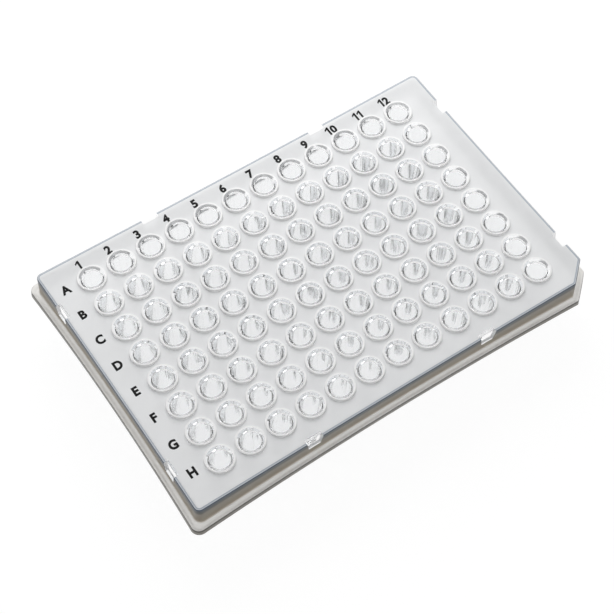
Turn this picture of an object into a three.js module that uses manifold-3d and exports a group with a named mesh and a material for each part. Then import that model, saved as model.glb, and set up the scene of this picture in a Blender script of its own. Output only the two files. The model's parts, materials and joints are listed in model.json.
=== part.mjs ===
// Semi-skirted 96-well plate for thermal cycling: one injection moulding in natural polypropylene.
//
// Millimetres, +Z up. The origin is the middle of the plate, on the surface that the well tips stand on.
// +X runs along a row from column 1 to column 12, and +Y runs towards row A. The cut corner is at row H,
// column 12.

import * as THREE from "three";
import { mergeVertices } from "three/addons/utils/BufferGeometryUtils.js";
import Module from "manifold-3d";

const wasm = await Module();
wasm.setup();

// ---------------------------------------------------------------------------------------------------
// Driving dimensions
// ---------------------------------------------------------------------------------------------------

// Footprint at the foot of the skirt, corner to corner.
const footprintLength = 127.76;
const footprintWidth = 85.48;

// Heights, from the rims down.
const plateHeight = 20.7; // well tips to rim tops
const rimHeight = 0.7; // rim tops above the deck
const wallHeight = 6.7; // deck down to the ledge
const skirtHeight = 2.0; // ledge down to the foot of the skirt

// Wall thicknesses.
const deckThickness = 1.0;
const wallThickness = 0.9; // side wall, ledge and skirt
const wellWall = 0.35;
const wellFloor = 0.7;

// Side wall, ledge and skirt, as widths in plan.
const skirtDraft = 0.2; // how far the skirt leans in from its foot to the ledge
const ledgeWidth = 1.8;
const wallDraft = 0.2; // how far the side wall leans in from the ledge to the deck
const deckEdgeRadius = 0.3;
const ledgeEdgeRadius = 0.3;
const wallFootRadius = 0.4; // the fillet between the side wall and the ledge

// Corners in plan. The cut corner tells the user which way round the plate is.
const skirtCornerRadius = 2.4;
const wallCornerRadius = 1.6;
const cutCornerRadius = 0.8;
const cutAlongLength = 7.4;
const cutAlongWidth = 6.8;

// The thin sides are drawn in between the corners as the moulding cools: the most at the foot of the
// skirt, and a share of that at the deck, which the wells hold stiff.
const longSideDraw = 1.55;
const shortSideDraw = 1.0;
const deckDrawShare = 0.2;

// Gripper notches: two on each side, three pitches from the middle, cut down through the wall.
const notchMouthWidth = 4.8;
const notchFloorWidth = 3.6;
const notchDepth = 3.6;
const notchClearance = 0.1; // how far each notch reaches past the wall's inner face
const notchPitches = 3;

// Well grid.
const columns = 12;
const rows = 8;
const wellPitch = 9.0;

// One well: a short, nearly straight collar, then a long taper to a small flat floor.
const mouthRadius = 3.12;
const rimWidth = 0.88;
const collarRadius = 2.85; // bore at the foot of the collar
const collarDepth = 5.0;
const floorRadius = 1.2; // bore at the floor

// Facets.
const mouthSides = 10; // round a well from its rim to the foot of its collar
const tipSides = mouthSides / 2; // round its tip
const cornerSteps = 3;
const cutSteps = 1;
const longSideSteps = 6;
const shortSideSteps = 4;

// ---------------------------------------------------------------------------------------------------
// Levels and insets that follow from them
// ---------------------------------------------------------------------------------------------------

const deckTop = plateHeight - rimHeight;
const deckUnderside = deckTop - deckThickness;
const ledgeTop = deckTop - wallHeight;
const skirtFoot = ledgeTop - skirtHeight;
const cutTool = 1.0; // how far a cutting body stands clear of the face it cuts through

// Insets are measured in plan from the foot of the skirt.
const ledgeEdgeInset = skirtDraft;
const wallFootInset = ledgeEdgeInset + ledgeWidth;
const deckEdgeInset = wallFootInset + wallDraft;

// ---------------------------------------------------------------------------------------------------
// Helpers
// ---------------------------------------------------------------------------------------------------

/** Turns a closed three.js geometry into a solid that can be joined and cut. */
function solid(geometry) {
  const bare = geometry.clone();
  bare.deleteAttribute("normal");
  bare.deleteAttribute("uv");
  const merged = mergeVertices(bare, 1e-5);
  return new wasm.Manifold(
    new wasm.Mesh({
      numProp: 3,
      vertProperties: new Float32Array(merged.attributes.position.array),
      triVerts: new Uint32Array(merged.index.array),
    }),
  );
}

/** Turns a solid back into a three.js geometry with flat facets. */
function facets(body) {
  const mesh = body.getMesh();
  const geometry = new THREE.BufferGeometry();
  geometry.setAttribute("position", new THREE.BufferAttribute(mesh.vertProperties, 3));
  geometry.setIndex(new THREE.BufferAttribute(mesh.triVerts, 1));
  const flat = geometry.toNonIndexed();
  flat.computeVertexNormals();
  return flat;
}

/**
 * Skins a stack of rings, from the first ring's cap to the last ring's. Neighbouring rings have as many
 * points as each other, or one has twice as many as the next, which is how a well loses facets towards
 * its tip. Rings run anticlockwise seen from above, and the first is the top of the skin.
 */
function skin(rings) {
  const points = rings.flat();
  const starts = [];
  let count = 0;
  for (const ring of rings) {
    starts.push(count);
    count += ring.length;
  }
  const index = [];
  for (let level = 0; level + 1 < rings.length; level += 1) {
    const upper = (step) => starts[level] + (step % rings[level].length);
    const lower = (step) => starts[level + 1] + (step % rings[level + 1].length);
    const halved = rings[level].length === 2 * rings[level + 1].length;
    for (let step = 0; step < rings[level + 1].length; step += 1) {
      if (halved) {
        index.push(upper(2 * step), lower(step), upper(2 * step + 1));
        index.push(upper(2 * step + 1), lower(step), lower(step + 1));
        index.push(upper(2 * step + 1), lower(step + 1), upper(2 * step + 2));
      } else {
        index.push(upper(step), lower(step), lower(step + 1));
        index.push(upper(step), lower(step + 1), upper(step + 1));
      }
    }
  }
  const cap = (ring) => THREE.ShapeUtils.triangulateShape(ring.map(({ x, y }) => new THREE.Vector2(x, y)), []);
  for (const [a, b, c] of cap(rings[0])) {
    index.push(a, b, c);
  }
  const last = starts.at(-1);
  for (const [a, b, c] of cap(rings.at(-1))) {
    index.push(last + a, last + c, last + b);
  }
  const geometry = new THREE.BufferGeometry().setFromPoints(points);
  geometry.setIndex(index);
  return geometry;
}

// ---------------------------------------------------------------------------------------------------
// Frame: deck, side wall, ledge and skirt
// ---------------------------------------------------------------------------------------------------

/** How far a side is drawn in at half its length, at a given height. */
function drawAt(z, sideDraw) {
  const depth = (deckTop - z) / (deckTop - skirtFoot);
  return sideDraw * (deckDrawShare + (1 - deckDrawShare) * depth);
}

/** The share of the full draw at a place along a side: all of it half-way, and none past the side's ends. */
function drawShare(along, halfSide) {
  return Math.max(0, 1 - (along / halfSide) ** 2);
}

/** Draws a point of an outline in towards the middle, where straight sides run to the corners' arcs. */
function drawnIn({ x, y }, z, halfLength, halfWidth, cornerRadius) {
  const lengthwise = drawShare(y, halfWidth - cornerRadius) * drawAt(z, shortSideDraw);
  const widthwise = drawShare(x, halfLength - cornerRadius) * drawAt(z, longSideDraw);
  return new THREE.Vector3(x * (1 - lengthwise / halfLength), y * (1 - widthwise / halfWidth), z);
}

/** The plate's outline at one level: a rectangle with three round corners and one cut off. */
function outline(inset, z, cornerRadius) {
  const halfLength = footprintLength / 2 - inset;
  const halfWidth = footprintWidth / 2 - inset;
  // The cut stays parallel to itself and moves in with the sides.
  const cutLength = Math.hypot(cutAlongLength, cutAlongWidth);
  const cutDistance = (cutAlongLength * cutAlongWidth) / cutLength;
  const movedIn = inset * ((cutAlongLength + cutAlongWidth) / cutLength - 1);
  const cutScale = (cutDistance - movedIn) / cutDistance;
  const corners = [
    { x: -halfLength, y: -halfWidth, radius: cornerRadius, steps: cornerSteps, sideSteps: longSideSteps },
    {
      x: halfLength - cutAlongLength * cutScale,
      y: -halfWidth,
      radius: cutCornerRadius,
      steps: cutSteps,
      sideSteps: 1,
    },
    {
      x: halfLength,
      y: -halfWidth + cutAlongWidth * cutScale,
      radius: cutCornerRadius,
      steps: cutSteps,
      sideSteps: shortSideSteps,
    },
    { x: halfLength, y: halfWidth, radius: cornerRadius, steps: cornerSteps, sideSteps: longSideSteps },
    { x: -halfLength, y: halfWidth, radius: cornerRadius, steps: cornerSteps, sideSteps: shortSideSteps },
  ];
  const arcs = corners.map((corner, i) => cornerArc(corners.at(i - 1), corner, corners[(i + 1) % corners.length]));
  const ring = [];
  for (const [i, arc] of arcs.entries()) {
    const next = arcs[(i + 1) % arcs.length][0];
    ring.push(...arc);
    for (let step = 1; step < corners[i].sideSteps; step += 1) {
      ring.push(arc.at(-1).clone().lerp(next, step / corners[i].sideSteps));
    }
  }
  return ring.map((point) => drawnIn(point, z, halfLength, halfWidth, cornerRadius));
}

/** The points of the arc that rounds one corner of an outline that runs anticlockwise. */
function cornerArc(before, corner, after) {
  const point = new THREE.Vector2(corner.x, corner.y);
  const arriving = new THREE.Vector2(before.x, before.y).sub(point).normalize();
  const leaving = new THREE.Vector2(after.x, after.y).sub(point).normalize();
  const halfAngle = Math.acos(arriving.dot(leaving)) / 2;
  const toCentre = arriving.clone().add(leaving).normalize();
  const centre = point.clone().addScaledVector(toCentre, corner.radius / Math.sin(halfAngle));
  const sweep = Math.PI - 2 * halfAngle;
  const outward = toCentre.angle() + Math.PI;
  const arc = [];
  for (let step = 0; step <= corner.steps; step += 1) {
    const angle = outward - sweep / 2 + (sweep * step) / corner.steps;
    arc.push(new THREE.Vector2(Math.cos(angle), Math.sin(angle)).multiplyScalar(corner.radius).add(centre));
  }
  return arc;
}

/** The frame's section, from the deck over its rounded edge to the skirt, and back up the inside. */
function frameGeometry() {
  const edgeRise = deckEdgeRadius * (1 - Math.SQRT1_2);
  const filletLean = (wallDraft * wallFootRadius) / (wallHeight - deckEdgeRadius);
  const innerSkirtRadius = skirtCornerRadius - wallThickness;
  const innerWallRadius = wallCornerRadius - wallThickness;
  return skin([
    outline(deckEdgeInset + deckEdgeRadius, deckTop, wallCornerRadius - deckEdgeRadius),
    outline(deckEdgeInset + edgeRise, deckTop - edgeRise, wallCornerRadius),
    outline(deckEdgeInset, deckTop - deckEdgeRadius, wallCornerRadius),
    outline(wallFootInset + filletLean, ledgeTop + wallFootRadius, wallCornerRadius),
    outline(wallFootInset - wallFootRadius, ledgeTop, wallCornerRadius + wallFootRadius),
    outline(ledgeEdgeInset + ledgeEdgeRadius, ledgeTop, skirtCornerRadius - ledgeEdgeRadius),
    outline(ledgeEdgeInset, ledgeTop - ledgeEdgeRadius, skirtCornerRadius),
    outline(0, skirtFoot, skirtCornerRadius),
    outline(wallThickness, skirtFoot, innerSkirtRadius),
    outline(ledgeEdgeInset + wallThickness, ledgeTop - wallThickness, innerSkirtRadius),
    outline(wallFootInset + wallThickness, ledgeTop - wallThickness, innerWallRadius),
    outline(deckEdgeInset + wallThickness, deckUnderside, innerWallRadius),
  ]);
}

// ---------------------------------------------------------------------------------------------------
// Gripper notches
// ---------------------------------------------------------------------------------------------------

/** How far from the middle a notch reaches at a given height: just past the wall's inner face. */
function notchReach(z, side) {
  const nearEnd = side.along - notchMouthWidth / 2;
  const share = drawShare(nearEnd, side.halfAlong - deckEdgeInset - wallCornerRadius);
  const innerFace = side.halfAcross - deckEdgeInset - share * drawAt(z, side.draw) - wallThickness;
  return innerFace - notchClearance;
}

/** The wedge that cuts one notch. It points along -Y, and its near end leans as the wall does. */
function notchTool(side) {
  const floor = deckTop - notchDepth;
  const ring = (z) => {
    const widening = ((notchMouthWidth - notchFloorWidth) * (z - floor)) / notchDepth;
    const halfNotch = (notchFloorWidth + widening) / 2;
    const near = -notchReach(z, side);
    const far = -side.halfAcross - cutTool;
    return [
      new THREE.Vector3(-halfNotch, far, z),
      new THREE.Vector3(halfNotch, far, z),
      new THREE.Vector3(halfNotch, near, z),
      new THREE.Vector3(-halfNotch, near, z),
    ];
  };
  return skin([ring(deckTop + cutTool), ring(floor)]);
}

/** All eight notches: a pair on each side, turned to it from the front. */
function notchTools() {
  const along = notchPitches * wellPitch;
  const halfLength = footprintLength / 2;
  const halfWidth = footprintWidth / 2;
  const longSide = { along, halfAlong: halfLength, halfAcross: halfWidth, draw: longSideDraw };
  const shortSide = { along, halfAlong: halfWidth, halfAcross: halfLength, draw: shortSideDraw };
  return [longSide, shortSide, longSide, shortSide].flatMap((side, turn) =>
    [-along, along].map((place) => notchTool(side).translate(place, 0, 0).rotateZ((turn * Math.PI) / 2)),
  );
}

// ---------------------------------------------------------------------------------------------------
// Wells
// ---------------------------------------------------------------------------------------------------

/** One ring of a well, with a corner on +X. */
function wellRing(radius, z, sides) {
  return Array.from({ length: sides }, (_, i) => {
    const angle = (2 * Math.PI * i) / sides;
    return new THREE.Vector3(radius * Math.cos(angle), radius * Math.sin(angle), z);
  });
}

/** The outside of a well: its rim, a plug through the deck, and its taper below the deck. */
function wellOutside() {
  const midDeck = (deckTop + deckUnderside) / 2;
  const rimRadius = mouthRadius + rimWidth;
  const topRadius = mouthRadius + wellWall;
  return skin([
    wellRing(rimRadius, plateHeight, mouthSides),
    wellRing(rimRadius, midDeck, mouthSides),
    wellRing(topRadius, midDeck, mouthSides),
    wellRing(topRadius, deckUnderside, mouthSides),
    wellRing(floorRadius + wellWall, 0, tipSides),
  ]);
}

/** The inside of a well, which runs out past its mouth so that it cuts clean through the rim. */
function wellInside() {
  const slope = (mouthRadius - collarRadius) / collarDepth;
  return skin([
    wellRing(mouthRadius + slope * cutTool, plateHeight + cutTool, mouthSides),
    wellRing(collarRadius, plateHeight - collarDepth, mouthSides),
    wellRing(floorRadius, wellFloor, tipSides),
  ]);
}

/** The middle of every well, column by column. */
function wellPlaces() {
  const places = [];
  for (let column = 0; column < columns; column += 1) {
    for (let row = 0; row < rows; row += 1) {
      places.push([(column - (columns - 1) / 2) * wellPitch, ((rows - 1) / 2 - row) * wellPitch]);
    }
  }
  return places;
}

// ---------------------------------------------------------------------------------------------------
// The moulding
// ---------------------------------------------------------------------------------------------------

let moulding = solid(frameGeometry());
for (const tool of notchTools()) {
  moulding = moulding.subtract(solid(tool));
}
const outside = wellOutside();
const inside = wellInside();
for (const [x, y] of wellPlaces()) {
  moulding = moulding.add(solid(outside.clone().translate(x, y, 0)));
  moulding = moulding.subtract(solid(inside.clone().translate(x, y, 0)));
}

const polypropylene = new THREE.MeshStandardMaterial({ color: 0xe3e6e8, roughness: 0.4, metalness: 0 });
const wellPlate = new THREE.Mesh(facets(moulding), polypropylene);
wellPlate.name = "well_plate";

const part = new THREE.Group();
part.add(wellPlate);

export default part;
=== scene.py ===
# %% [markdown]
# # A 96-well plate for thermal cycling
# The real plate is one injection moulding in natural polypropylene, with the names of its rows and
# columns printed on it in black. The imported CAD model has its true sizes, in coarse facets. This
# script puts a finer mesh of the same moulding in its place, gives it the plastic's finishes, prints
# the names, and lights it all on a white table.
#
# The moulding could be drawn by hand in Edit Mode. But each part of it follows a rule, so the script
# draws the rules instead, and every size stays a named value that can be changed.

import json
import math

import bmesh
import bpy
from mathutils import Matrix, Vector


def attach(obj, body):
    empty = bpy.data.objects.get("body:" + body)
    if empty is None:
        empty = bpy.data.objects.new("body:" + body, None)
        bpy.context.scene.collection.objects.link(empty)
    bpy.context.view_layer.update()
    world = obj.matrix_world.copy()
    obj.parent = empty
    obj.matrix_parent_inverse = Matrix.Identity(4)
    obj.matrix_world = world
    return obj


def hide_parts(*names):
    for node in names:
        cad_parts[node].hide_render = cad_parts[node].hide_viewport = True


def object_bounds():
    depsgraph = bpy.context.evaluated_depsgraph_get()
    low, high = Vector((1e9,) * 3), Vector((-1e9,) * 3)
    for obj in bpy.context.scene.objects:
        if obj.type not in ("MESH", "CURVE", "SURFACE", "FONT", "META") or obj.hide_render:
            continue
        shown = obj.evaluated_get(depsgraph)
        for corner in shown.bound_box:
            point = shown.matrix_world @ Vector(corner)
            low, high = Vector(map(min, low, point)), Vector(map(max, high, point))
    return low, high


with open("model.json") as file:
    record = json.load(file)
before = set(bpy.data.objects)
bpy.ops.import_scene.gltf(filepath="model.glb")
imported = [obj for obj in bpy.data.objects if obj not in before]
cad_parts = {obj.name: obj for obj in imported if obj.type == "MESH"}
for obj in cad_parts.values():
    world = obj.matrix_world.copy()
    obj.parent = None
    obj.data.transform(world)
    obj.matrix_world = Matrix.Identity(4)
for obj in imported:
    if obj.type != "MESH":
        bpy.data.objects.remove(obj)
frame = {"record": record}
cad_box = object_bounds()


def in_mm(box):
    """The two corners of a box, rounded for printing."""
    return [tuple(round(1000 * c, 2) for c in corner) for corner in box]


print("CAD box, in mm:", in_mm(cad_box))

# %% [markdown]
# ## Sizes
# All sizes are written in millimetres, as on the plate's drawing, and MM turns them to metres where
# a mesh is made. The overall size comes from the CAD box, and the levels of the deck and of the
# skirt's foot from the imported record, so they can't drift from the CAD model. The plate stands on the
# tips of its wells, at level 0.

# %% Overall sizes and levels
MM = 0.001
mount_level = {mount["name"]: mount["pos_m"][2] / MM for mount in frame["record"]["mounts"]}

half_length = cad_box[1].x / MM
half_width = cad_box[1].y / MM
plate_height = cad_box[1].z / MM
deck_top = mount_level["deck"]
skirt_foot = mount_level["skirt_foot"]

deck_thickness = 1.0
wall_height = 6.7
wall_thickness = 0.9
ledge_top = deck_top - wall_height
deck_underside = deck_top - deck_thickness
print("levels of rims, deck, ledge and foot, in mm:")
print([round(level, 2) for level in (plate_height, deck_top, ledge_top, skirt_foot)])

# %% [markdown]
# ## The frame
# The frame is the deck with the stepped wall round it: a side wall, a ledge and a short skirt. Its
# section is the same all the way round, so it could be a curve with a bevel profile. It is a stack of
# closed rings instead, with faces between them, because the rings can follow a bow in the sides.
#
# That bow comes from cooling. The thin sides of the real moulding shrink, and are drawn in half-way
# between the stiff corners, more at the free foot of the skirt than at the deck. A parabola along
# each side gives it: it is deepest in the middle and runs out at the corners.

# %% How far the sides are drawn in
long_side_draw, short_side_draw = 1.55, 1.0
deck_draw_share = 0.2


def draw_at(level, side_draw):
    """How far a side is drawn in half-way along it, at a given level."""
    depth = (deck_top - level) / (deck_top - skirt_foot)
    return side_draw * (deck_draw_share + (1 - deck_draw_share) * depth)


def draw_share(along, half_side):
    """The share of the full draw at a place along a side."""
    return max(0.0, 1 - (along / half_side) ** 2)


for level in (deck_top, ledge_top, skirt_foot):
    print("long side drawn in at level", round(level, 2), "by", round(draw_at(level, long_side_draw), 2))

# %% [markdown]
# Seen from above, the outline has rounded corners. Bevel in Edit Mode would round them. Here each arc
# is worked out from the two sides that meet in it, so that all rings have the same count of points,
# which the faces between them need.

# %% Round one corner
corner_steps, cut_steps = 10, 4


def corner_arc(before, corner, after, radius, steps):
    """The points of the arc that rounds one corner of an outline."""
    arriving = (before - corner).normalized()
    leaving = (after - corner).normalized()
    half_angle = math.acos(arriving.dot(leaving)) / 2
    inward = (arriving + leaving).normalized()
    centre = corner + inward * (radius / math.sin(half_angle))
    sweep = math.pi - 2 * half_angle
    outward = math.atan2(-inward.y, -inward.x)
    angles = [outward - sweep / 2 + sweep * step / steps for step in range(steps + 1)]
    return [centre + radius * Vector((math.cos(a), math.sin(a))) for a in angles]


print("degrees between points in a square corner:", 90 / corner_steps)

# %% [markdown]
# The corner at H12 is cut off, so that nobody puts the plate in a machine the wrong way round. As the
# outline moves in, the cut moves in by as much, and the wall keeps its thickness there.

# %% The outline at one inset
corner_cut = (7.4, 6.8)
cut_corner_radius = 0.8
skirt_corner_radius = 2.4
long_side_steps, short_side_steps, cut_side_steps = 60, 40, 4


def straight_outline(x, y, inset, radius):
    """The outline between -x, -y and x, y, anticlockwise, with straight sides and one corner cut off."""
    cut_length = math.hypot(*corner_cut)
    cut_distance = corner_cut[0] * corner_cut[1] / cut_length
    cut_scale = 1 - inset * (sum(corner_cut) / cut_length - 1) / cut_distance
    corners = [
        (Vector((-x, -y)), radius, corner_steps, long_side_steps),
        (Vector((x - corner_cut[0] * cut_scale, -y)), cut_corner_radius, cut_steps, cut_side_steps),
        (Vector((x, -y + corner_cut[1] * cut_scale)), cut_corner_radius, cut_steps, short_side_steps),
        (Vector((x, y)), radius, corner_steps, long_side_steps),
        (Vector((-x, y)), radius, corner_steps, short_side_steps),
    ]
    arcs = [
        corner_arc(corners[i - 1][0], corner, corners[(i + 1) % len(corners)][0], size, steps)
        for i, (corner, size, steps, _) in enumerate(corners)
    ]
    outline = []
    for i, arc in enumerate(arcs):
        side_end = arcs[(i + 1) % len(arcs)][0]
        side_steps = corners[i][3]
        outline += arc
        outline += [arc[-1].lerp(side_end, step / side_steps) for step in range(1, side_steps)]
    return outline


print("points in an outline:", len(straight_outline(half_length, half_width, 0, skirt_corner_radius)))

# %% [markdown]
# A ring of the frame is that outline at one level, with its sides drawn in.

# %% One ring of the frame
def frame_ring(inset, level, radius):
    """The plate's outline at one level, with the bow in its sides."""
    x, y = half_length - inset, half_width - inset
    drawn = []
    for point in straight_outline(x, y, inset, radius):
        lengthwise = draw_share(point.y, y - radius) * draw_at(level, short_side_draw)
        widthwise = draw_share(point.x, x - radius) * draw_at(level, long_side_draw)
        drawn.append(Vector((point.x * (1 - lengthwise / x), point.y * (1 - widthwise / y), level)))
    return drawn


middle = min(frame_ring(0, skirt_foot, skirt_corner_radius), key=lambda point: abs(point.x) - point.y)
print("the back's middle at the skirt's foot, in mm:", [round(c, 2) for c in middle])

# %% [markdown]
# ### The frame's section
# No edge of a moulding is quite sharp, and the thin lines of light along them show it. Each rounded
# edge is a quarter circle in the section. `fillet` gives its points, with angle 0 along the first
# coordinate and 90 upwards. Rounds that catch the light get the most points.

# %% Points of a rounded edge
edge_steps, seen_steps, hidden_steps, small_steps = 6, 4, 3, 2


def fillet(across, level, radius, start, end, steps):
    """Points of an arc in a section, round a centre, from one angle to another in degrees."""
    angles = [math.radians(start + (end - start) * step / steps) for step in range(steps + 1)]
    return [(across + radius * math.cos(a), level + radius * math.sin(a)) for a in angles]


print("points on the deck's edge:", len(fillet(0, 0, 1, 90, 180, edge_steps)))

# %% [markdown]
# The section is a list of rounds with flats between them, from the deck over the outside down to the
# skirt's foot, and back up the inside. Each point is an inset from the skirt's outside, and a level.

# %% The frame's section
deck_edge_radius = 0.3
wall_foot_radius = 0.4
ledge_edge_radius = 0.3
skirt_foot_radius = 0.15
inner_radius = 0.3

line_width = 0.4
ledge_edge_inset = 0.2
wall_foot_inset = 2.0
deck_edge_inset = 2.2


def foot_round(inset, start, end):
    """A round at the skirt's foot, with its centre at a given inset."""
    return fillet(inset, skirt_foot + skirt_foot_radius, skirt_foot_radius, start, end, small_steps)


deck_edge = (deck_edge_inset + deck_edge_radius, deck_top - deck_edge_radius, deck_edge_radius)
wall_foot = (wall_foot_inset - wall_foot_radius, ledge_top + wall_foot_radius, wall_foot_radius)
ledge_edge = (ledge_edge_inset + ledge_edge_radius, ledge_top - ledge_edge_radius, ledge_edge_radius)
inner_corner = (deck_edge_inset + wall_thickness + inner_radius, deck_underside - inner_radius, inner_radius)

outer_wall = [
    (deck_edge_inset + deck_edge_radius + line_width, deck_top),
    *fillet(*deck_edge, 90, 180, edge_steps),
    *fillet(*wall_foot, 0, -90, seen_steps),
]
outer_skirt = [*fillet(*ledge_edge, 90, 180, seen_steps), *foot_round(skirt_foot_radius, 180, 270)]
inner_skirt = [
    *foot_round(wall_thickness - skirt_foot_radius, 270, 360),
    (ledge_edge_inset + wall_thickness, ledge_top - wall_thickness),
]
inner_wall = [
    (wall_foot_inset + wall_thickness, ledge_top - wall_thickness),
    *fillet(*inner_corner, 180, 90, hidden_steps),
]
print("rings outside and inside:", len(outer_wall + outer_skirt), len(inner_skirt + inner_wall))

# %% [markdown]
# Each point of the section makes one ring. A ring's corner radius shrinks as much as the ring moves
# in, as it does on a wall of even thickness.

# %% The stack of rings
wall_corner_radius = 1.6
least_corner_radius = 0.3


def section_rings(section, corner_radius, corner_inset):
    """One ring for each point of a section, whose corner radius is known at one inset."""
    return [
        frame_ring(inset, level, max(least_corner_radius, corner_radius - (inset - corner_inset)))
        for inset, level in section
    ]


rings = [
    *section_rings(outer_wall, wall_corner_radius, deck_edge_inset),
    *section_rings(outer_skirt + inner_skirt, skirt_corner_radius, 0.0),
    *section_rings(inner_wall, wall_corner_radius, deck_edge_inset),
]
print("rings:", len(rings))

# %% [markdown]
# The rings become a closed mesh: quads between neighbouring rings, and one flat face to close the
# deck's top and one its underside. The holes and notches are cut from this solid later, so it stays
# simple here.

# %% Make the frame's solid
def mesh_object(name, vertices, faces):
    """A mesh object in the scene, from points in millimetres."""
    mesh = bpy.data.meshes.new(name)
    mesh.from_pydata([Vector(v) * MM for v in vertices], [], faces)
    mesh.update()
    thing = bpy.data.objects.new(name, mesh)
    bpy.context.scene.collection.objects.link(thing)
    return thing


def skin(stack):
    """Points and faces of the closed skin over a stack of rings: two ends, then band after band."""
    count = len(stack[0])
    points = [point for ring in stack for point in ring]
    faces = [tuple(range(count)), tuple(reversed(range(len(points) - count, len(points))))]
    for level in range(len(stack) - 1):
        upper, lower = level * count, (level + 1) * count
        for step in range(count):
            after = (step + 1) % count
            faces.append((upper + step, lower + step, lower + after, upper + after))
    return points, faces


frame_solid = mesh_object("frame_solid", *skin(rings))
print("frame faces:", len(frame_solid.data.polygons))

# %% [markdown]
# ## The notches
# Each side has two notches that a robot's gripper or a clamp holds the plate by. A Boolean modifier
# for each would do, but with the eight cutters in one mesh a single Boolean takes them all. Their
# sides widen upwards, so that the moulding leaves its tool, and their inner ends lean as the wall does.

# %% The shape of one notch's cutter
notch_mouth, notch_floor, notch_depth = 4.8, 3.6, 3.6
notch_place = 27.0
notch_clearance = 0.1
notch_bevel = 0.5
cutter_reach = 1.0


def notch_cutter(half_along, half_across, side_draw, place, turn):
    """Points and faces of the wedge that cuts one notch."""
    near_end = notch_place - notch_mouth / 2
    share = draw_share(near_end, half_along - deck_edge_inset - wall_corner_radius)
    stack = []
    for level in (deck_top + cutter_reach, deck_top, deck_underside, deck_top - notch_depth):
        rise = (level - deck_top + notch_depth) / notch_depth
        half_notch = (notch_floor + (notch_mouth - notch_floor) * rise) / 2
        inner_face = half_across - deck_edge_inset - share * draw_at(level, side_draw) - wall_thickness
        bevel = notch_bevel if level >= deck_top else 0.0
        near, far = -(inner_face - notch_clearance - bevel), -half_across - cutter_reach
        corners = [(-half_notch, far), (half_notch, far), (half_notch, near), (-half_notch, near)]
        stack.append([Matrix.Rotation(turn, 3, "Z") @ Vector((x + place, y, level)) for x, y in corners])
    return skin(stack)


print("a notch's width at its floor and at the deck, in mm:", notch_floor, notch_mouth)

# %% [markdown]
# A cutter is drawn at the front side, and turned by quarters to the other three. Turning keeps the
# wedges the right way out, which a mirror would not.

# %% Eight cutters in one mesh
sides = [(half_length, half_width, long_side_draw), (half_width, half_length, short_side_draw)]
cutter_points, cutter_faces = [], []
for quarter in range(4):
    for place in (-notch_place, notch_place):
        points, faces = notch_cutter(*sides[quarter % 2], place, math.radians(90 * quarter))
        cutter_faces += [tuple(i + len(cutter_points) for i in face) for face in faces]
        cutter_points += points
notch_cutters = mesh_object("notch_cutters", cutter_points, cutter_faces)
print("faces of all cutters:", len(cutter_faces))

# %% [markdown]
# ## One well
# A well is turned about its own axis: a raised rim, a polished chamfer that leads a pipette's tip in,
# a short collar that a seal grips, and a long taper down to a small floor, with a thin wall all the
# way. The chamfer rings each mouth with a bright band and a dark one, and a narrow flat eases it at
# its top and at its foot.
#
# Its section is drawn from the middle of the floor up the bore, over the rim and down the outside to
# the tip. Sweeping that section round a circle gives the well, and only this one section has to be
# right for all 96.

# %% The well's section
rim_radius, neck_radius = 4.0, 3.47
chamfer_mouth, chamfer_foot, chamfer_depth = 3.45, 2.8, 0.32
ease_width, mouth_ease, foot_ease = 0.03, 0.02, 0.04
collar_radius, collar_depth = 2.75, 5.0
floor_radius, floor_level = 1.2, 0.7
well_wall = 0.35
tip_radius = floor_radius + well_wall
shoulder_round, tip_round, floor_round = 0.15, 0.4, 0.3
rim_foot = (deck_top + deck_underside) / 2

well_section = [
    (0.0, floor_level),
    *fillet(floor_radius - floor_round, floor_level + floor_round, floor_round, -90, 0, small_steps),
    (collar_radius, plate_height - collar_depth),
    (chamfer_foot, plate_height - chamfer_depth),
    (chamfer_foot + ease_width, plate_height - chamfer_depth + foot_ease),
    (chamfer_mouth - ease_width, plate_height - mouth_ease),
    (chamfer_mouth, plate_height),
    *fillet(rim_radius - shoulder_round, plate_height - shoulder_round, shoulder_round, 90, 0, seen_steps),
    (rim_radius, rim_foot),
    (neck_radius, rim_foot),
    (neck_radius, deck_underside),
    *fillet(tip_radius - tip_round, tip_round, tip_round, 0, -90, hidden_steps),
    (0.0, 0.0),
]
print("points in the well's section:", len(well_section))

# %% [markdown]
# Curve to Mesh puts a section's X away from the middle of the circle that it is swept round, and its
# Y downwards. The circle has a radius of its own, which is taken off each point's radius here and
# added back by the sweep.

# %% The section as a curve
sweep_radius = 2.0
section_curve = bpy.data.curves.new("well_section", "CURVE")
section_curve.dimensions = "3D"
spline = section_curve.splines.new("POLY")
spline.points.add(len(well_section) - 1)
for point, (radius, level) in zip(spline.points, well_section):
    point.co = ((radius - sweep_radius) * MM, -level * MM, 0, 1)
section_object = bpy.data.objects.new("well_section", section_curve)
bpy.context.scene.collection.objects.link(section_object)
print("points in the curve:", len(spline.points))

# %% [markdown]
# ## Finishes
# Natural polypropylene has no pigment. It lets most light through and is slightly milky, because it
# crystallises in part as it cools. The rest is done by the tool's surface and by how thick the
# plastic is: polished wells, an etched deck, satin rims, a thin ledge and a milky side wall. So the
# moulding has one IOR and several finishes. The side wall's tones, the ledge's warm tint and the line
# round the deck are painted light and shade. Colours are written as on a screen, and one function
# turns them to the linear values that shaders take.

# %% Colours, nodes and materials
plastic_ior = 1.49


def colour(hex_code):
    """A colour that is written as on a screen, turned to the linear values that shaders take."""
    channels = [int(hex_code[i : i + 2], 16) / 255 for i in (1, 3, 5)]
    return (*[c / 12.92 if c <= 0.04045 else ((c + 0.055) / 1.055) ** 2.4 for c in channels], 1.0)


def add(tree, kind, settings=None, links=None):
    """Adds a node, with its own settings, its sockets' values and the links into it."""
    node = tree.nodes.new(kind)
    for name, value in (settings or {}).items():
        if isinstance(name, str) and hasattr(node, name):
            setattr(node, name, value)
        else:
            node.inputs[name].default_value = value
    for name, source in (links or {}).items():
        tree.links.new(source, node.inputs[name])
    return node


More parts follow.
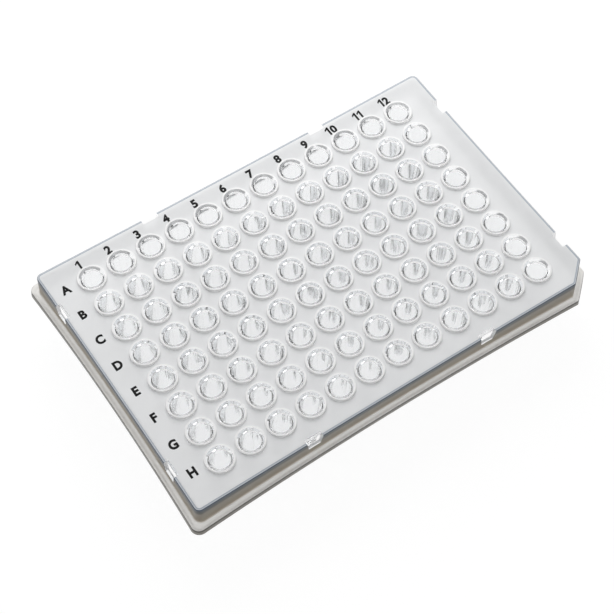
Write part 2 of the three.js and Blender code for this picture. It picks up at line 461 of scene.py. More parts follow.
def new_material(name):
    """An empty material, and its node tree."""
    material = bpy.data.materials.new(name)
    material.use_nodes = True
    material.node_tree.nodes.clear()
    return material, material.node_tree


print("a mid grey in linear light:", [round(c, 3) for c in colour("#808080")])

# %% [markdown]
# A dull face that is met from inside the clear plastic lets through the light that falls on its other
# side, as a frosted pane does. A Principled surface alone would turn black there, in every refraction
# that looks at the back of the deck. So the back of each dull face is a white Translucent shader,
# chosen by the Geometry node's Backfacing. The polished faces need none of that, because their
# refraction already works both ways.

# %% Finish a surface, and give it patches
def finish_surface(material, surface, glows=True):
    """Joins a surface to the output. From inside, a dull surface glows with the light on it outside."""
    tree = material.node_tree
    shader = surface.outputs["BSDF"]
    if glows:
        side = add(tree, "ShaderNodeNewGeometry")
        glow = add(tree, "ShaderNodeBsdfTranslucent", {"Color": colour("#ffffff")})
        shader = add(tree, "ShaderNodeMixShader", links={
            0: side.outputs["Backfacing"], 1: shader, 2: glow.outputs["BSDF"],
        }).outputs["Shader"]
    add(tree, "ShaderNodeOutputMaterial", links={"Surface": shader})
    print("finish:", material.name, "nodes:", len(tree.nodes))


def mottled(tree, patch_size, light, dark):
    """A tone that drifts between two close colours, in soft patches of a size in millimetres."""
    place = add(tree, "ShaderNodeTexCoord")
    patches = add(tree, "ShaderNodeTexNoise", {"Scale": 1 / (patch_size * MM), "Detail": 2.0}, {
        "Vector": place.outputs["Object"],
    })
    # Sockets 6 and 7 of a Mix node are its two colours, and its third output is the colour they give.
    return add(tree, "ShaderNodeMix", {"data_type": "RGBA", 6: colour(light), 7: colour(dark)}, {
        0: patches.outputs["Fac"],
    }).outputs[2]


# %% [markdown]
# ### The wells: polypropylene off a polished tool
# The tool is polished where the wells are moulded, so that a camera can read the dye in them. The eye
# sees clear plastic with faint streaks along each well, where the plastic flowed down between the
# core and the cavity. Noise stretched along Z would give streaks too, but the wall leans inwards on
# its way down and would cross from one to the next. So each place is first given by its direction
# round its own well's axis: Wrap folds the grid of wells into a single pitch, and Normalize leaves
# the direction. All wells then share one pattern.

# %% Directions round the wells' axes
pitch = 9.0

polished, tree = new_material("polypropylene_natural_polished")
place = add(tree, "ShaderNodeTexCoord")
axes = add(tree, "ShaderNodeSeparateXYZ", links={0: place.outputs["Object"]})
across = [
    add(tree, "ShaderNodeMath", {"operation": "WRAP", 1: pitch * MM, 2: 0.0}, {0: axes.outputs[name]})
    for name in ("X", "Y")
]
in_one_pitch = add(tree, "ShaderNodeCombineXYZ", links={
    "X": across[0].outputs[0], "Y": across[1].outputs[0],
})
from_axis = add(tree, "ShaderNodeVectorMath", {
    "operation": "SUBTRACT", 1: (pitch / 2 * MM, pitch / 2 * MM, 0.0),
}, {0: in_one_pitch.outputs[0]})
round_axis = add(tree, "ShaderNodeVectorMath", {"operation": "NORMALIZE"}, {0: from_axis.outputs[0]})
print("nodes that give the direction:", len(tree.nodes))

# %% [markdown]
# The noise reads that direction plus a little of the height, so its patches are narrow and long. One
# noise does two things: it gives the wall a slight relief, and a haze that comes and goes with it.

# %% The polished wells
# Real flow lines are a few hundredths of a millimetre wide. Drawn at 0.2 mm, they can be seen.
streak_width, streak_length = 0.2, 3.57
streak_relief = 0.03
streak_turn = streak_width / chamfer_foot

along_axis = add(tree, "ShaderNodeVectorMath", {
    "operation": "MULTIPLY", 1: (0.0, 0.0, streak_turn / (streak_length * MM)),
}, {0: place.outputs["Object"]})
flow = add(tree, "ShaderNodeVectorMath", {"operation": "ADD"}, {
    0: round_axis.outputs[0], 1: along_axis.outputs[0],
})
streaks = add(tree, "ShaderNodeTexNoise", {"Scale": 1 / streak_turn, "Detail": 1.0}, {
    "Vector": flow.outputs[0],
})
relief = add(tree, "ShaderNodeBump", {"Strength": 0.2, "Distance": streak_relief * MM}, {
    "Height": streaks.outputs["Fac"],
})
haze = add(tree, "ShaderNodeMapRange", {"From Min": 0.3, "From Max": 0.7, "To Min": 0.06, "To Max": 0.14}, {
    "Value": streaks.outputs["Fac"],
})
surface = add(tree, "ShaderNodeBsdfPrincipled", {
    "Base Color": colour("#fbfcfd"),
    "IOR": plastic_ior,
    "Transmission Weight": 0.97,
}, {"Roughness": haze.outputs[0], "Normal": relief.outputs[0]})
finish_surface(polished, surface, glows=False)

# %% [markdown]
# ### The deck: polypropylene off an etched tool
# The deck's tool is lightly etched, so that the deck scatters what is under it and the print stands
# out. The eye sees an even pale grey, with soft patches where the plastic cooled a little faster or
# slower, and a fine grain. Rough glass would let the wells' outsides show through, so most of this
# surface is white and dull, and only a fifth of it passes light.

# %% The etched deck
deck_patch = 8.0
# The grain of an etched tool is about 0.05 mm, too fine to show, so it is drawn ten times coarser.
deck_grain, grain_relief = 0.5, 0.02

etched, tree = new_material("polypropylene_natural_etched")
place = add(tree, "ShaderNodeTexCoord")
grain = add(tree, "ShaderNodeTexNoise", {"Scale": 1 / (deck_grain * MM), "Detail": 2.0}, {
    "Vector": place.outputs["Object"],
})
relief = add(tree, "ShaderNodeBump", {"Strength": 0.3, "Distance": grain_relief * MM}, {
    "Height": grain.outputs["Fac"],
})
surface = add(tree, "ShaderNodeBsdfPrincipled", {
    "Roughness": 0.45,
    "IOR": plastic_ior,
    "Transmission Weight": 0.2,
}, {"Base Color": mottled(tree, deck_patch, "#f3f4f5", "#e7e8e9"), "Normal": relief.outputs[0]})
finish_surface(etched, surface)

# %% [markdown]
# ### The ledge: thin polypropylene
# The ledge is thin and has air on both sides, so more light passes through it than through the deck.
# Its colour is painted a little warmer, a painted tint for the light that comes up from the skirt below.
# It is the deck's plastic with half of it clear.

# %% The ledge
ledge_patch = 4.0

thin, tree = new_material("polypropylene_natural_thin_ledge")
surface = add(tree, "ShaderNodeBsdfPrincipled", {
    "Roughness": 0.4,
    "IOR": plastic_ior,
    "Transmission Weight": 0.5,
}, {"Base Color": mottled(tree, ledge_patch, "#f4f2ee", "#e8e5df")})
finish_surface(thin, surface)

# %% [markdown]
# ### The rims: satin polypropylene
# A seal is pressed on the rims, so their tool is finer than the deck's but not polished. The eye sees
# white rings with a soft shine. Their shine varies a little round each ring, which noise in the
# roughness gives, with the colour left plain.

# %% The satin rims
# The marks of the tool's finish are far finer than this. At 0.8 mm they can be seen in the shine.
rim_grain = 0.8

rim, tree = new_material("polypropylene_natural_satin_rim")
place = add(tree, "ShaderNodeTexCoord")
grain = add(tree, "ShaderNodeTexNoise", {"Scale": 1 / (rim_grain * MM), "Detail": 1.0}, {
    "Vector": place.outputs["Object"],
})
satin = add(tree, "ShaderNodeMapRange", {"To Min": 0.25, "To Max": 0.4}, {"Value": grain.outputs["Fac"]})
surface = add(tree, "ShaderNodeBsdfPrincipled", {
    "Base Color": colour("#ffffff"),
    "IOR": plastic_ior,
    "Transmission Weight": 0.15,
}, {"Roughness": satin.outputs[0]})
finish_surface(rim, surface)

# %% [markdown]
# ### The line round the deck
# Where the side wall meets the deck, the eye looks down into the height of the wall instead of
# through a thin sheet. That shows as a narrow blue-grey line along the deck's edge. It is painted on
# the deck's outer band of faces, because the light that makes it would take far more samples.

# %% The line over the side wall
line_patch = 6.0

line, tree = new_material("polypropylene_natural_border_line")
surface = add(tree, "ShaderNodeBsdfPrincipled", {
    "Roughness": 0.45,
    "IOR": plastic_ior,
    "Transmission Weight": 0.2,
}, {"Base Color": mottled(tree, line_patch, "#b4bcc6", "#a6afb9")})
finish_surface(line, surface)

# %% [markdown]
# ### The side wall and the skirt: milky polypropylene
# Light enters the thick side at its edges and is scattered on its way, so the real wall is pale where the
# ledge lights it, warm grey over its height and blue-grey under the deck's edge. Subsurface
# scattering could work that out, but it is slow and noisy in a wall with so many edges. So this light
# and shade is painted into the colour by height with a Color Ramp, and only the shine comes from the room.

# %% Tones of the side by height
# Painted light and shade by height: the skirt and the wall are painted a shaded warm grey, the bands under
# the ledge's edge and under the deck's edge are painted shade, and the wall's foot and the deck's edge are
# painted light.
side_painted_shade_and_light = {
    skirt_foot: "#7e786d",  # the skirt
    ledge_top - 0.75: "#787267",
    ledge_top - 0.5: "#3c3a35",  # the shade under the ledge's edge
    ledge_top - 0.2: "#3c3a35",
    ledge_top - 0.02: "#e6e1d8",  # the wall's foot, lit by the ledge
    ledge_top + 0.3: "#f0eadf",
    ledge_top + 0.6: "#bfb4a4",
    # Painted shade: this warm grey is not a colour of the plastic.
    ledge_top + 1.5: "#a39886",  # the wall's own warm grey
    deck_top - 2.6: "#948c7f",
    deck_top - 1.9: "#65625c",
    deck_top - 1.3: "#4b4e50",
    deck_top - 0.5: "#3f4953",  # the shade under the deck's edge
    deck_top - 0.08: "#42556a",
    deck_top - 0.02: "#8493a2",  # the deck's edge, where it catches the light
    deck_top: "#ffffff",
}
print("tones on the side:", len(side_painted_shade_and_light))

# %% [markdown]
# The object's own Z, taken from the skirt's foot to the deck, is the place along the ramp. A new ramp
# has a black stop and a white one. The white one goes first, and the black one when ours are in,
# because a ramp can't be empty.

# %% The milky side
gloss_patch = 3.0

milky, tree = new_material("polypropylene_natural_wall_painted_shade_and_light")
place = add(tree, "ShaderNodeTexCoord")
axes = add(tree, "ShaderNodeSeparateXYZ", links={0: place.outputs["Object"]})
climb = add(tree, "ShaderNodeMapRange", {"From Min": skirt_foot * MM, "From Max": deck_top * MM}, {
    "Value": axes.outputs["Z"],
})
tones = add(tree, "ShaderNodeValToRGB", links={"Fac": climb.outputs[0]})
stops = tones.color_ramp.elements
stops.remove(stops[-1])
for level, tone in side_painted_shade_and_light.items():
    stops.new((level - skirt_foot) / (deck_top - skirt_foot)).color = colour(tone)
stops.remove(stops[0])
shine = add(tree, "ShaderNodeTexNoise", {"Scale": 1 / (gloss_patch * MM), "Detail": 2.0}, {
    "Vector": place.outputs["Object"],
})
gloss = add(tree, "ShaderNodeMapRange", {"To Min": 0.3, "To Max": 0.36}, {"Value": shine.outputs["Fac"]})
surface = add(tree, "ShaderNodeBsdfPrincipled", {
    "IOR": plastic_ior,
    "Transmission Weight": 0.05,
}, {"Base Color": tones.outputs["Color"], "Roughness": gloss.outputs[0]})
finish_surface(milky, surface)

# %% [markdown]
# ### The ink: black pad print
# A soft pad lays the ink on the deck. It dries dull, and where the pad lifted it covers a little less,
# so it is nearly black with patches of a slightly lighter black.

# %% The printed ink
# Pinholes in real ink are about 0.05 mm. At 0.4 mm the patches can just be seen.
ink_patch = 0.4

ink, tree = new_material("pad_printed_black_ink")
surface = add(tree, "ShaderNodeBsdfPrincipled", {"Roughness": 0.6, "Specular IOR Level": 0.2}, {
    "Base Color": mottled(tree, ink_patch, "#060607", "#121214"),
})
finish_surface(ink, surface, glows=False)

# %% [markdown]
# ## The moulding
# One Geometry Nodes tree makes the whole moulding. It sweeps the well, puts one on each point of a
# grid, cuts the notches and a hole for each well out of the frame, and joins the wells in. The result
# is one closed skin, as light passing through a clear part needs. An Array modifier could repeat the
# wells too, but the tree keeps count, pitch and sizes together as named inputs.

# %% The tree's inputs
plate_tree = bpy.data.node_groups.new("moulded_plate", "GeometryNodeTree")
interface = plate_tree.interface
interface.new_socket("Geometry", in_out="OUTPUT", socket_type="NodeSocketGeometry")
interface.new_socket("Frame", in_out="INPUT", socket_type="NodeSocketGeometry")
for name, kind in {
    "Well section": "NodeSocketObject",
    "Notch cutters": "NodeSocketObject",
    "Columns": "NodeSocketInt",
    "Rows": "NodeSocketInt",
    "Pitch": "NodeSocketFloat",
    "Facets": "NodeSocketInt",
    "Sweep radius": "NodeSocketFloat",
    "Plug radius": "NodeSocketFloat",
    "Plug length": "NodeSocketFloat",
    "Deck level": "NodeSocketFloat",
    "Mouth radius": "NodeSocketFloat",
    "Sharp angle": "NodeSocketFloat",
    "Polished": "NodeSocketMaterial",
    "Rim": "NodeSocketMaterial",
}.items():
    interface.new_socket(name, in_out="INPUT", socket_type=kind)
given = plate_tree.nodes.new("NodeGroupInput").outputs
print("inputs of the tree:", len(given) - 1)

# %% [markdown]
# The wells stand on the points of a grid. A grid node asks for its whole length, which is one pitch
# less than the count of points would suggest, as with fence posts.

# %% The grid of wells
def row_length(tree, count, pitch):
    """The length of a row of points: one fewer than there are points, times the pitch."""
    gaps = add(tree, "ShaderNodeMath", {"operation": "SUBTRACT", 1: 1.0}, {0: count})
    return add(tree, "ShaderNodeMath", {"operation": "MULTIPLY"}, {0: gaps.outputs[0], 1: pitch}).outputs[0]


grid = add(plate_tree, "GeometryNodeMeshGrid", links={
    "Size X": row_length(plate_tree, given["Columns"], given["Pitch"]),
    "Size Y": row_length(plate_tree, given["Rows"], given["Pitch"]),
    "Vertices X": given["Columns"],
    "Vertices Y": given["Rows"],
})
print("nodes so far:", len(plate_tree.nodes))

# %% [markdown]
# The section is swept round a circle. All of the sweep's points on the axis fall together, and Merge
# by Distance makes one point of them, so that the floor and the tip close.

# %% Sweep one well
merge_distance = 0.001

section_in = add(plate_tree, "GeometryNodeObjectInfo", links={"Object": given["Well section"]})
circle = add(plate_tree, "GeometryNodeCurvePrimitiveCircle", links={
    "Resolution": given["Facets"], "Radius": given["Sweep radius"],
})
swept = add(plate_tree, "GeometryNodeCurveToMesh", links={
    "Curve": circle.outputs["Curve"], "Profile Curve": section_in.outputs["Geometry"],
})
closed_well = add(plate_tree, "GeometryNodeMergeByDistance", {"Distance": merge_distance * MM}, {
    "Geometry": swept.outputs["Mesh"],
})
print("nodes so far:", len(plate_tree.nodes))

# %% [markdown]
# The whole well is polished, apart from the rim: the faces that lie above the deck and further from
# the axis than the mouth. The finishes are set on this one well, before it is repeated.

# %% Finish one well
polished_well = add(plate_tree, "GeometryNodeSetMaterial", links={
    "Geometry": closed_well.outputs["Geometry"], "Material": given["Polished"],
})
position = add(plate_tree, "GeometryNodeInputPosition")
axes = add(plate_tree, "ShaderNodeSeparateXYZ", links={0: position.outputs[0]})
flat_place = add(plate_tree, "ShaderNodeCombineXYZ", links={
    "X": axes.outputs["X"], "Y": axes.outputs["Y"],
})
from_axis = add(plate_tree, "ShaderNodeVectorMath", {"operation": "LENGTH"}, {0: flat_place.outputs[0]})
past_mouth = add(plate_tree, "ShaderNodeMath", {"operation": "GREATER_THAN"}, {
    0: from_axis.outputs["Value"], 1: given["Mouth radius"],
})
over_deck = add(plate_tree, "ShaderNodeMath", {"operation": "GREATER_THAN"}, {
    0: axes.outputs["Z"], 1: given["Deck level"],
})
on_rim = add(plate_tree, "ShaderNodeMath", {"operation": "MULTIPLY"}, {
    0: past_mouth.outputs[0], 1: over_deck.outputs[0],
})
well = add(plate_tree, "GeometryNodeSetMaterial", links={
    "Geometry": polished_well.outputs["Geometry"], "Selection": on_rim.outputs[0], "Material": given["Rim"],
})
print("nodes so far:", len(plate_tree.nodes))

# %% [markdown]
# Each well needs a hole in the deck. A plug that is wider than the bore and narrower than the neck
# cuts it, so the hole's edge ends inside the well's own wall and the join leaves no seam. Plugs and
# wells share the grid's points, and Realize Instances makes real meshes of both, which a Boolean
# needs.

# %% Repeat the wells and the plugs
plug = add(plate_tree, "GeometryNodeMeshCylinder", links={
    "Vertices": given["Facets"], "Radius": given["Plug radius"], "Depth": given["Plug length"],
})
deck_place = add(plate_tree, "ShaderNodeCombineXYZ", links={"Z": given["Deck level"]})
plug_at_deck = add(plate_tree, "GeometryNodeTransform", links={
    "Geometry": plug.outputs["Mesh"], "Translation": deck_place.outputs["Vector"],
})
on_grid = []
for repeated in (well, plug_at_deck):
    instances = add(plate_tree, "GeometryNodeInstanceOnPoints", links={
        "Points": grid.outputs["Mesh"], "Instance": repeated.outputs["Geometry"],
    })
    on_grid.append(add(plate_tree, "GeometryNodeRealizeInstances", links={
        "Geometry": instances.outputs["Instances"],
    }).outputs["Geometry"])
all_wells, all_plugs = on_grid
print("nodes so far:", len(plate_tree.nodes))

# %% [markdown]
# One Boolean cuts the plugs and the notches out of the frame, and a second joins the wells in. The
# Manifold solver is the quick one, and it keeps a closed mesh closed. The cutters go in as two links
# to one socket.

# %% Cut the frame and join the wells in
notches_in = add(plate_tree, "GeometryNodeObjectInfo", links={"Object": given["Notch cutters"]})
cutters = add(plate_tree, "GeometryNodeJoinGeometry", links={"Geometry": all_plugs})
plate_tree.links.new(notches_in.outputs["Geometry"], cutters.inputs["Geometry"])
cut_frame = add(plate_tree, "GeometryNodeMeshBoolean", {
    "operation": "DIFFERENCE", "solver": "MANIFOLD",
}, {"Mesh 1": given["Frame"], "Mesh 2": cutters.outputs["Geometry"]})
joined = add(plate_tree, "GeometryNodeMeshBoolean", {
    "operation": "UNION", "solver": "MANIFOLD",
}, {"Mesh 2": cut_frame.outputs["Mesh"]})
plate_tree.links.new(all_wells, joined.inputs["Mesh 2"])
print("nodes so far:", len(plate_tree.nodes))

# %% [markdown]
# Edges that turn sharply stay sharp and the rest is shaded smooth. The level faces are left flat, so
# that their size doesn't drag the shading of the small rounds next to them.

# %% Shading in the tree
level_normal = 0.9999

normal = add(plate_tree, "GeometryNodeInputNormal")
facing = add(plate_tree, "ShaderNodeSeparateXYZ", links={0: normal.outputs[0]})
upness = add(plate_tree, "ShaderNodeMath", {"operation": "ABSOLUTE"}, {0: facing.outputs["Z"]})
is_level = add(plate_tree, "ShaderNodeMath", {"operation": "GREATER_THAN", 1: level_normal}, {
    0: upness.outputs[0],
})
turn = add(plate_tree, "GeometryNodeInputMeshEdgeAngle")
is_sharp = add(plate_tree, "ShaderNodeMath", {"operation": "GREATER_THAN"}, {
    0: turn.outputs["Unsigned Angle"], 1: given["Sharp angle"],
})
shaded = add(plate_tree, "GeometryNodeSetShadeSmooth", {"domain": "FACE", "Shade Smooth": True}, {
    "Geometry": joined.outputs["Mesh"],
})
for domain, selection in (("FACE", is_level), ("EDGE", is_sharp)):
    shaded = add(plate_tree, "GeometryNodeSetShadeSmooth", {"domain": domain, "Shade Smooth": False}, {
        "Geometry": shaded.outputs["Geometry"], "Selection": selection.outputs[0],
    })
add(plate_tree, "NodeGroupOutput", links={0: shaded.outputs["Geometry"]})
print("nodes in the tree:", len(plate_tree.nodes))

# %% [markdown]
# ### The frame's finishes
# The frame's faces were made in a known order: the two ends of the stack, then band after band from
# the deck's edge over the outside to the inside. So a face's finish follows from its number, and on
# the ledge from the way it looks. The notches' walls are polished, like the cutters that leave them.

# %% Finish the frame
finishes = (polished, milky, etched, thin, line)
looks_up = 0.6
deck_face, underside_face, end_faces = 0, 1, 2
ring_points = len(rings[0])
line_end = end_faces + ring_points
outside_end = end_faces + ring_points * (len(outer_wall) + len(outer_skirt) - 1)
ledge_zone = (ledge_top + wall_foot_radius) * MM


def frame_finish(face):
    """The finish of one face of the frame."""
    if face.index == deck_face:
        return etched
    if face.index == underside_face:
        return polished
    if face.index < line_end:
        return line
    if face.center.z < ledge_zone and face.normal.z > looks_up:
        return thin
    if face.center.z < ledge_zone and face.normal.z < -looks_up:
        return polished
    return milky if face.index < outside_end else etched


for finish in finishes:
    frame_solid.data.materials.append(finish)
    notch_cutters.data.materials.append(finish)
for face in frame_solid.data.polygons:
    face.material_index = finishes.index(frame_finish(face))
for face in notch_cutters.data.polygons:
    face.material_index = finishes.index(polished)
for number, finish in enumerate(finishes):
    print(finish.name, sum(face.material_index == number for face in frame_solid.data.polygons), "faces")

# %% [markdown]
# ### Run the tree
# The tree runs as a modifier on the frame. Its inputs are set before the object is evaluated, by each
# socket's identifier, because two sockets could share a name.

# %% Set the tree's inputs
columns, rows = 12, 8
facets = 32
plug_radius, plug_length = 3.2, 4.0
mouth_clearance = 0.02
sharp_angle = 35

modifier = frame_solid.modifiers.new("moulded_plate", "NODES")
modifier.node_group = plate_tree
settings = {
    "Well section": section_object,
    "Notch cutters": notch_cutters,
    "Columns": columns,
    "Rows": rows,
    "Pitch": pitch * MM,
    "Facets": facets,
    "Sweep radius": sweep_radius * MM,
    "Plug radius": plug_radius * MM,
    "Plug length": plug_length * MM,
    "Deck level": deck_top * MM,
    "Mouth radius": (chamfer_mouth - mouth_clearance) * MM,
    "Sharp angle": math.radians(sharp_angle),
    "Polished": polished,
    "Rim": rim,
}
for item in interface.items_tree:
    if item.in_out == "INPUT" and item.name in settings:
        modifier[item.identifier] = settings[item.name]
print("inputs set:", len(settings))

# %% [markdown]
# The result is kept as a plain mesh, because the exported model holds meshes and no modifiers. The
# frame, the cutters and the section have done their work and are taken out of the scene.

# %% Keep the tree's mesh
bpy.context.view_layer.update()
evaluated = frame_solid.evaluated_get(bpy.context.evaluated_depsgraph_get())
moulding = bpy.data.objects.new("plate_moulding", bpy.data.meshes.new_from_object(evaluated))
moulding.data.name = "plate_moulding"
bpy.context.scene.collection.objects.link(moulding)
for helper in (frame_solid, notch_cutters, section_object):
    bpy.data.objects.remove(helper)

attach(moulding, "root")
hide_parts("well_plate")
print("faces of the moulding:", len(moulding.data.polygons))

# %% [markdown]
# A clear part only looks right if its skin is closed, because light that goes in has to come out
# again. So the mesh is checked for open edges, and its volume is printed next to them: a plate of
# this kind takes 20 to 25 ml of plastic.

# %% Check the skin
check = bmesh.new()
check.from_mesh(moulding.data)
print("open edges:", sum(not edge.is_manifold for edge in check.edges))
print("triangles:", sum(len(face.verts) - 2 for face in check.faces))
print("volume in ml:", round(check.calc_volume(signed=True) * 1e6, 2))
check.free()

# %% [markdown]
# ## The printed names
# The rows are lettered down the short side and the columns numbered along the long side. Pads print
# them on the deck, in a layer of ink that is thinner than a hair. An image of them would do on a flat
# face, but text objects stay sharp at any distance. Each is made a mesh, given a little thickness so
# that it lies clear of the deck, and put in its place.

# %% Outlines of the letters and digits
cap_height = 2.6
capital_share = 0.73
stroke_growth = 0.17
curve_steps = 4
one_outline = [
    (0.3, -0.06), (0.54, -0.06), (0.54, 1.06), (0.37, 1.06), (0.02, 0.8), (0.02, 0.6), (0.3, 0.78),
]


def set_in_font(letter):
    """A letter or digit in the built-in font, with bolder strokes."""
    shape = bpy.data.curves.new(letter, "FONT")
    shape.body = letter
    shape.size = cap_height / capital_share * MM
    shape.offset = stroke_growth * MM
    shape.resolution_u = curve_steps
    return shape


def drawn_one():
    """A 1 with a flag. The built-in font's 1 is a bare bar."""
    shape = bpy.data.curves.new("one", "CURVE")
    shape.dimensions = "2D"
    shape.fill_mode = "BOTH"
    spline = shape.splines.new("POLY")
    spline.points.add(len(one_outline) - 1)
    for point, (x, y) in zip(spline.points, one_outline):
        point.co = (x * cap_height * MM, y * cap_height * MM, 0, 1)
    spline.use_cyclic_u = True
    return shape


print("capitals are", cap_height, "mm high")

# %% [markdown]
# Text and a drawn curve turn into a mesh in the same way: the extrusion gives the ink its thickness,
# and the evaluated object gives the mesh. It is then made a little narrower.

# %% One letter or digit
narrowing = 0.93
ink_thickness = 0.02


def glyph(letter):
    """The mesh of one letter or digit, standing on y = 0."""
    shape = drawn_one() if letter == "1" else set_in_font(letter)
    shape.extrude = ink_thickness / 2 * MM
    holder = bpy.data.objects.new("glyph", shape)
    bpy.context.scene.collection.objects.link(holder)
    bpy.context.view_layer.update()
    mesh = bpy.data.meshes.new_from_object(holder.evaluated_get(bpy.context.evaluated_depsgraph_get()))
    bpy.data.objects.remove(holder)
    mesh.transform(Matrix.Diagonal((narrowing, 1, 1, 1)))
    return mesh


print("the ink is", ink_thickness, "mm thick")

# %% [markdown]
# The names are set glyph by glyph with one gap between them, because the drawn 1 has no place in the
# font's own spacing. The finished name is a mesh in its place, with its object at the origin, so that
# the ink's pattern stays where it is when the model is exported.

# %% One printed name
letter_gap = 0.3
print_lift = 0.003


def printed(name, text, x, y):
    """One name in ink, centred on a place on the deck."""
    words = bmesh.new()
    width = -letter_gap * MM
    for letter in text:
        mesh = glyph(letter)
        left, right = min(v.co.x for v in mesh.vertices), max(v.co.x for v in mesh.vertices)
        mesh.transform(Matrix.Translation((width + letter_gap * MM - left, 0, 0)))
        width += letter_gap * MM + right - left
        words.from_mesh(mesh)
    level = deck_top + ink_thickness / 2 + print_lift
    words.transform(Matrix.Translation((x * MM - width / 2, (y - cap_height / 2) * MM, level * MM)))
    mesh = bpy.data.meshes.new(name)
    words.to_mesh(mesh)
    words.free()
    mesh.materials.clear()
    mesh.materials.append(ink)
    piece = bpy.data.objects.new(name, mesh)
    bpy.context.scene.collection.objects.link(piece)
    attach(piece, "root")
    print("printed:", text, "width in mm:", round(width / MM, 2))


# %% [markdown]
# Each letter stands in line with its row and each number with its column. The pads aren't placed as
# exactly as the wells are, so all letters sit a little high and all numbers a little to the left.

# %% Print the rows' letters and the columns' numbers
letters_x, numbers_y = -57.0, 37.1
letters_shift, numbers_shift = 0.9, -1.0

for row in range(rows):
    letter = "ABCDEFGH"[row]
    letters_y = ((rows - 1) / 2 - row) * pitch + letters_shift
    printed(f"row_letter_{letter}", letter, letters_x, letters_y)
for column in range(columns):
    number = str(column + 1)
    numbers_x = (column - (columns - 1) / 2) * pitch + numbers_shift
    printed(f"column_number_{number}", number, numbers_x, numbers_y)

# %% [markdown]
# ## Table, light and camera
# The plate stands on a white table. A table bright enough to be white in the picture would throw
# too much light up into the clear wells, so the table's look depends on the ray that meets it, by the
# Light Path node. A camera ray sees it white, with the plate's soft shadow. A ray that comes through
# the plastic or off it sees it a little darker, with more of the shadow, so that the wells have
# something to refract. All other rays see a plain pale board.

# %% The table
table_size = 3.0

bpy.ops.mesh.primitive_plane_add(size=table_size)
table = bpy.context.object
table.name = "table"
material, tree = new_material("white_table")


def lit_board(tree, tone, glow):
    """A dull board with some light of its own, so that shadows on it stay pale."""
    board = add(tree, "ShaderNodeBsdfDiffuse", {"Color": colour(tone)})
    light = add(tree, "ShaderNodeEmission", {"Color": colour("#ffffff"), "Strength": glow})
    return add(tree, "ShaderNodeAddShader", links={0: board.outputs[0], 1: light.outputs[0]})


plain_board = add(tree, "ShaderNodeBsdfDiffuse", {"Color": colour("#e8e8e8")})
seen_board = lit_board(tree, "#626262", 0.92)
refracted_board = lit_board(tree, "#747474", 0.85)
paths = add(tree, "ShaderNodeLightPath")
through_or_off = add(tree, "ShaderNodeMath", {"operation": "MAXIMUM"}, {
    0: paths.outputs["Is Transmission Ray"], 1: paths.outputs["Is Glossy Ray"],
})
to_camera = add(tree, "ShaderNodeMixShader", links={
    "Fac": paths.outputs["Is Camera Ray"], 1: plain_board.outputs[0], 2: seen_board.outputs[0],
})
to_all = add(tree, "ShaderNodeMixShader", links={
    "Fac": through_or_off.outputs[0], 1: to_camera.outputs[0], 2: refracted_board.outputs[0],
})
add(tree, "ShaderNodeOutputMaterial", links={"Surface": to_all.outputs[0]})
table.data.materials.append(material)
print("the table's nodes:", len(tree.nodes))

# %% [markdown]
# The light is that of a white room whose ceiling is brighter than its walls. Clear plastic has hardly
# a colour of its own: its edges show only where they reflect or refract something darker than the
# ceiling, and the dimmer walls give them that. A Sky or an image would do the same with less control,
# so the air's strength simply follows the height of the direction.

# %% The light of the room
world = bpy.data.worlds.new("studio")
bpy.context.scene.world = world
world.use_nodes = True
tree = world.node_tree
tree.nodes.clear()
direction = add(tree, "ShaderNodeTexCoord")
axes = add(tree, "ShaderNodeSeparateXYZ", links={0: direction.outputs["Generated"]})
strength = add(tree, "ShaderNodeMapRange", {
    "From Min": 0.35, "From Max": 0.8, "To Min": 0.33, "To Max": 0.82,
}, {"Value": axes.outputs["Z"]})
air = add(tree, "ShaderNodeBackground", links={"Strength": strength.outputs[0]})
add(tree, "ShaderNodeOutputWorld", links={"Surface": air.outputs[0]})
print("the room's nodes:", len(tree.nodes))

# %% [markdown]
# One round softbox stands behind the plate, low and near. It makes the deck a little brighter towards
# the back, and puts a soft light on the far side of each rim. It is wide for its distance, so its
# shadows are soft, and weak, so that the deck doesn't clip to white.

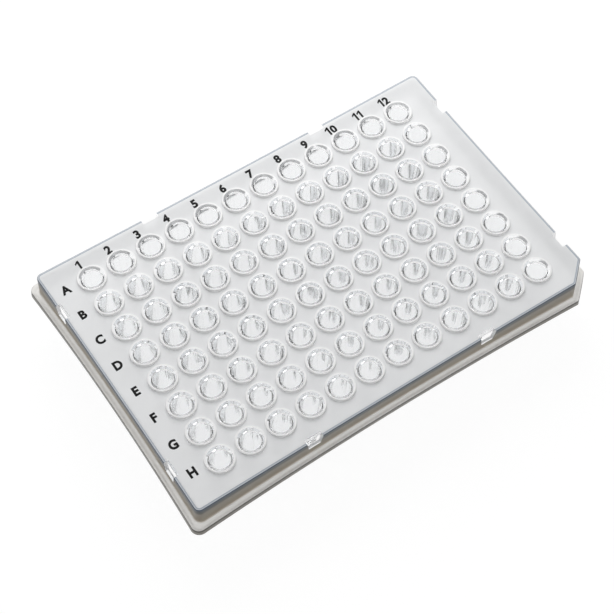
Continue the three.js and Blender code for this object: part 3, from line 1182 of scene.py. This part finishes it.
# %% The softbox
lamp_data = bpy.data.lights.new("softbox", "AREA")
lamp_data.shape = "DISK"
lamp_data.size = 0.3
lamp_data.energy = 0.57
lamp = bpy.data.objects.new("softbox", lamp_data)
bpy.context.scene.collection.objects.link(lamp)
lamp_place = Vector((0.10, 0.22, 0.22))
turned = (-lamp_place).to_track_quat("-Z", "Y").to_matrix().to_4x4()
lamp.matrix_world = Matrix.Translation(lamp_place) @ turned
print("the softbox stands off by, in m:", round(lamp_place.length, 2))

# %% [markdown]
# The camera looks down on the plate from the front left with a longish lens, so that the rows of
# wells run nearly parallel and the side wall still shows. It is aimed by a heading, turned from the
# plate's Y towards its X, a depression below the level, and a slight roll.

# %% The camera
sensor_width, focal_length = 36.0, 91.41
heading, depression, roll = math.radians(34.487), math.radians(59.052), math.radians(0.683)
distance = 405.55
target = Vector((-7.506, -7.421, plate_height))

camera_data = bpy.data.cameras.new("camera")
camera_data.sensor_width = sensor_width
camera_data.lens = focal_length
camera_data.clip_start, camera_data.clip_end = 0.01, 20
camera = bpy.data.objects.new("camera", camera_data)
bpy.context.scene.collection.objects.link(camera)
bpy.context.scene.camera = camera
look = Vector((
    math.sin(heading) * math.cos(depression),
    math.cos(heading) * math.cos(depression),
    -math.sin(depression),
))
turned = look.to_track_quat("-Z", "Y").to_matrix() @ Matrix.Rotation(roll, 3, "Z")
camera.matrix_world = Matrix.Translation((target - look * distance) * MM) @ turned.to_4x4()
print("the camera's height, in mm:", round(camera.matrix_world.translation.z / MM, 1))

# %% [markdown]
# ## Depth of light, and colours
# A ray that goes down into a clear well and out again crosses the skin many times, and where Cycles
# runs out of bounces it leaves the ray black, which turns the wells grey. With 48 bounces they stay
# clear. The Standard view shows colours as they are written.

# %% Bounces and view
deepest_path = 48

scene = bpy.context.scene
scene.cycles.max_bounces = deepest_path
scene.cycles.transmission_bounces = deepest_path
scene.cycles.glossy_bounces = deepest_path
scene.view_settings.view_transform = "Standard"
print("bounces:", scene.cycles.max_bounces)
